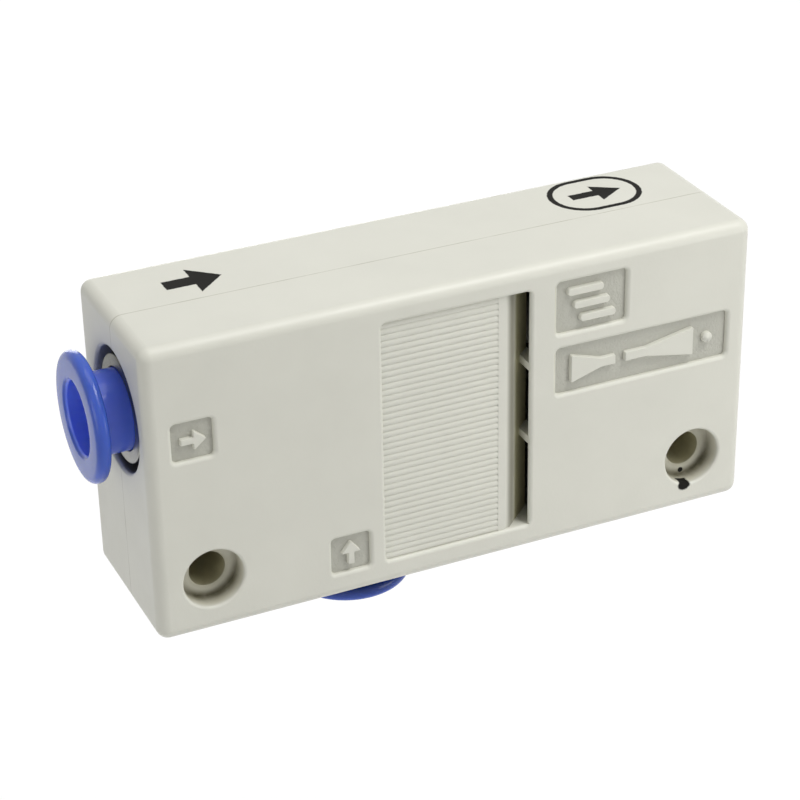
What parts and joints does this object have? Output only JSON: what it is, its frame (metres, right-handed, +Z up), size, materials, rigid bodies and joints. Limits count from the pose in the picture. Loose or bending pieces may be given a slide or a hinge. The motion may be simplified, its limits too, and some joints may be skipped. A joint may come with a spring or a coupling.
{
  "type": "vacuum ejector",
  "caption": "Flat box-shaped vacuum ejector with blue push-in tube ports at the left end and underneath, a ribbed front panel and a louvred exhaust slot.",
  "frame": {"origin": "midway between the two mounting holes, on the back face", "axes": "+X along the length to the exhaust end, +Y out of the back face, +Z up, away from the vacuum port"},
  "size_m": [0.0584, 0.0153, 0.029],
  "materials": {
    "casing": "satin warm light grey moulded resin with a fine grain",
    "button_blue": "glossy blue moulded resin",
    "guide_metal": "nickel-plated brass, satin",
    "spring_steel": "stamped stainless steel",
    "nozzle_brass": "turned brass",
    "rubber": "black nitrile rubber",
    "dark_resin": "black glass-filled resin",
    "white_resin": "natural white resin",
    "foam": "dark open-cell sound-absorbing foam"
  },
  "bodies": {
    "casing": {"front_shell": "casing", "rear_shell": "casing", "port_block": "dark_resin", "nozzle": "nozzle_brass", "nozzle_o_ring": "rubber", "diffuser": "white_resin", "diffuser_o_ring": "rubber", "silencer_front_pad": "foam", "silencer_rear_pad": "foam", "silencer_end_pad": "foam", "supply_guide": "guide_metal", "supply_chuck": "spring_steel", "supply_collet": "white_resin", "supply_seal": "rubber", "vacuum_guide": "guide_metal", "vacuum_chuck": "spring_steel", "vacuum_collet": "white_resin", "vacuum_seal": "rubber"},
    "supply_button": {"supply_release_button": "button_blue"},
    "vacuum_button": {"vacuum_release_button": "button_blue"}
  },
  "joints": [
    {"name": "supply_button_press", "type": "slide", "parent": "casing", "child": "supply_button", "axis": [1, 0, 0], "range_m": [0, 0.0021]},
    {"name": "vacuum_button_press", "type": "slide", "parent": "casing", "child": "vacuum_button", "axis": [0, 0, 1], "range_m": [-0.0012, 0.0009]}
  ]
}
